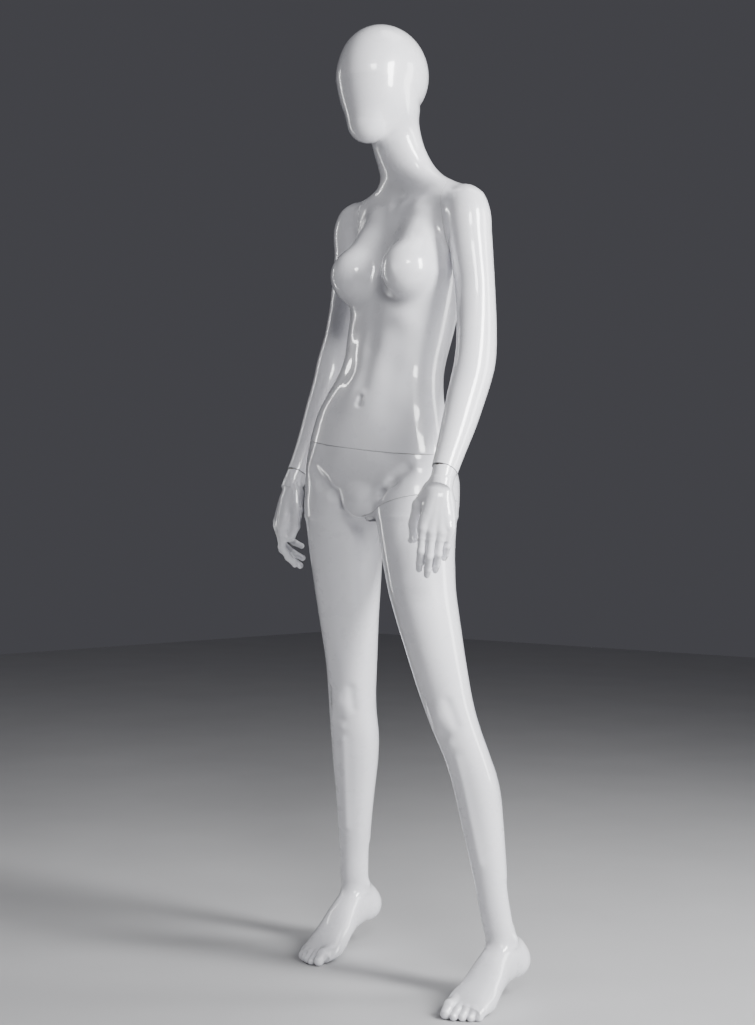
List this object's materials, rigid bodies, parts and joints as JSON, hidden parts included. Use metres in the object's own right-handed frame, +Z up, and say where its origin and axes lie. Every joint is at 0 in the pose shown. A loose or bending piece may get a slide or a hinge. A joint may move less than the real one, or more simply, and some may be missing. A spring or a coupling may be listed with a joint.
{
  "type": "full body mannequin",
  "caption": "Glossy white female display mannequin with an egg head, lift-off torso, twist-lock arms, hands and left leg, and a rod socket in its heel.",
  "frame": {"origin": "middle of the figure's footprint box on the floor", "axes": "+Z up, the figure faces -Y, its left side is +X"},
  "size_m": [0.5657, 0.4204, 1.796],
  "materials": {
    "gloss_white_skin": "high-gloss polyurethane lacquer on fibreglass, cool white",
    "birch_board": "bare birch plywood",
    "lock_steel": "zinc-plated pressed steel",
    "spigot_steel": "turned steel tube",
    "pin_steel": "ground dowel",
    "socket_steel": "drawn steel tube",
    "screw_steel": "zinc-plated"
  },
  "bodies": {
    "lower_body": {"pelvis_right_leg_shell": "gloss_white_skin", "pelvis_waist_board": "birch_board", "waist_spigot": "spigot_steel", "waist_spigot_screws": "screw_steel", "waist_locating_pin": "pin_steel", "hip_leg_board": "birch_board", "leg_lock_plate": "lock_steel", "leg_plate_screws": "screw_steel", "base_rod_socket": "socket_steel"},
    "torso": {"torso_shell": "gloss_white_skin", "torso_waist_board": "birch_board", "torso_waist_socket": "lock_steel", "torso_socket_screws": "screw_steel", "left_shoulder_board": "birch_board", "left_shoulder_lock_plate": "lock_steel", "left_shoulder_plate_screws": "screw_steel", "right_shoulder_board": "birch_board", "right_shoulder_lock_plate": "lock_steel", "right_shoulder_plate_screws": "screw_steel"},
    "left_leg": {"left_leg_shell": "gloss_white_skin", "left_leg_board": "birch_board", "left_leg_lock_stud": "lock_steel", "left_leg_stud_screws": "screw_steel"},
    "rod_screw": {"base_rod_set_screw": "screw_steel"},
    "left_arm": {"left_arm_shell": "gloss_white_skin", "left_arm_board": "birch_board", "left_arm_lock_stud": "lock_steel", "left_arm_stud_screws": "screw_steel", "left_wrist_board": "birch_board", "left_wrist_lock_plate": "lock_steel", "left_wrist_plate_screws": "screw_steel"},
    "left_hand": {"left_hand": "gloss_white_skin", "left_hand_lock_stud": "lock_steel", "left_hand_stud_screws": "screw_steel"},
    "right_arm": {"right_arm_shell": "gloss_white_skin", "right_arm_board": "birch_board", "right_arm_lock_stud": "lock_steel", "right_arm_stud_screws": "screw_steel", "right_wrist_board": "birch_board", "right_wrist_lock_plate": "lock_steel", "right_wrist_plate_screws": "screw_steel"},
    "right_hand": {"right_hand": "gloss_white_skin", "right_hand_lock_stud": "lock_steel", "right_hand_stud_screws": "screw_steel"}
  },
  "joints": [
    {"name": "torso_lift", "type": "slide", "parent": "lower_body", "child": "torso", "axis": [0.133, -0.103, 0.9858], "range_m": [0, 0.05]},
    {"name": "left_shoulder_twist", "type": "hinge", "parent": "torso", "child": "left_arm", "pos_m": [0.137, 0.008, 1.44], "axis": [-0.9962, 0, -0.087], "range_deg": [0, 90]},
    {"name": "right_shoulder_twist", "type": "hinge", "parent": "torso", "child": "right_arm", "pos_m": [-0.089, 0.027, 1.446], "axis": [-0.9962, 0, 0.087], "range_deg": [0, 90]},
    {"name": "left_wrist_twist", "type": "hinge", "parent": "left_arm", "child": "left_hand", "pos_m": [0.24829, -0.14597, 0.96687], "axis": [0.0889, -0.5037, -0.8593], "range_deg": [0, 90]},
    {"name": "right_wrist_twist", "type": "hinge", "parent": "right_arm", "child": "right_hand", "pos_m": [-0.21108, -0.05108, 0.96891], "axis": [0.1152, 0.4897, 0.8642], "range_deg": [0, 90]},
    {"name": "left_leg_twist", "type": "hinge", "parent": "lower_body", "child": "left_leg", "pos_m": [0.099, -0.054, 0.899], "axis": [0.3001, -0.1601, -0.9404], "range_deg": [0, 45]},
    {"name": "rod_screw_turn", "type": "hinge", "parent": "lower_body", "child": "rod_screw", "pos_m": [-0.25441, 0.17811, 0.086], "axis": [-0.1323, 0.9912, 0], "range_deg": [0, 360]}
  ]
}
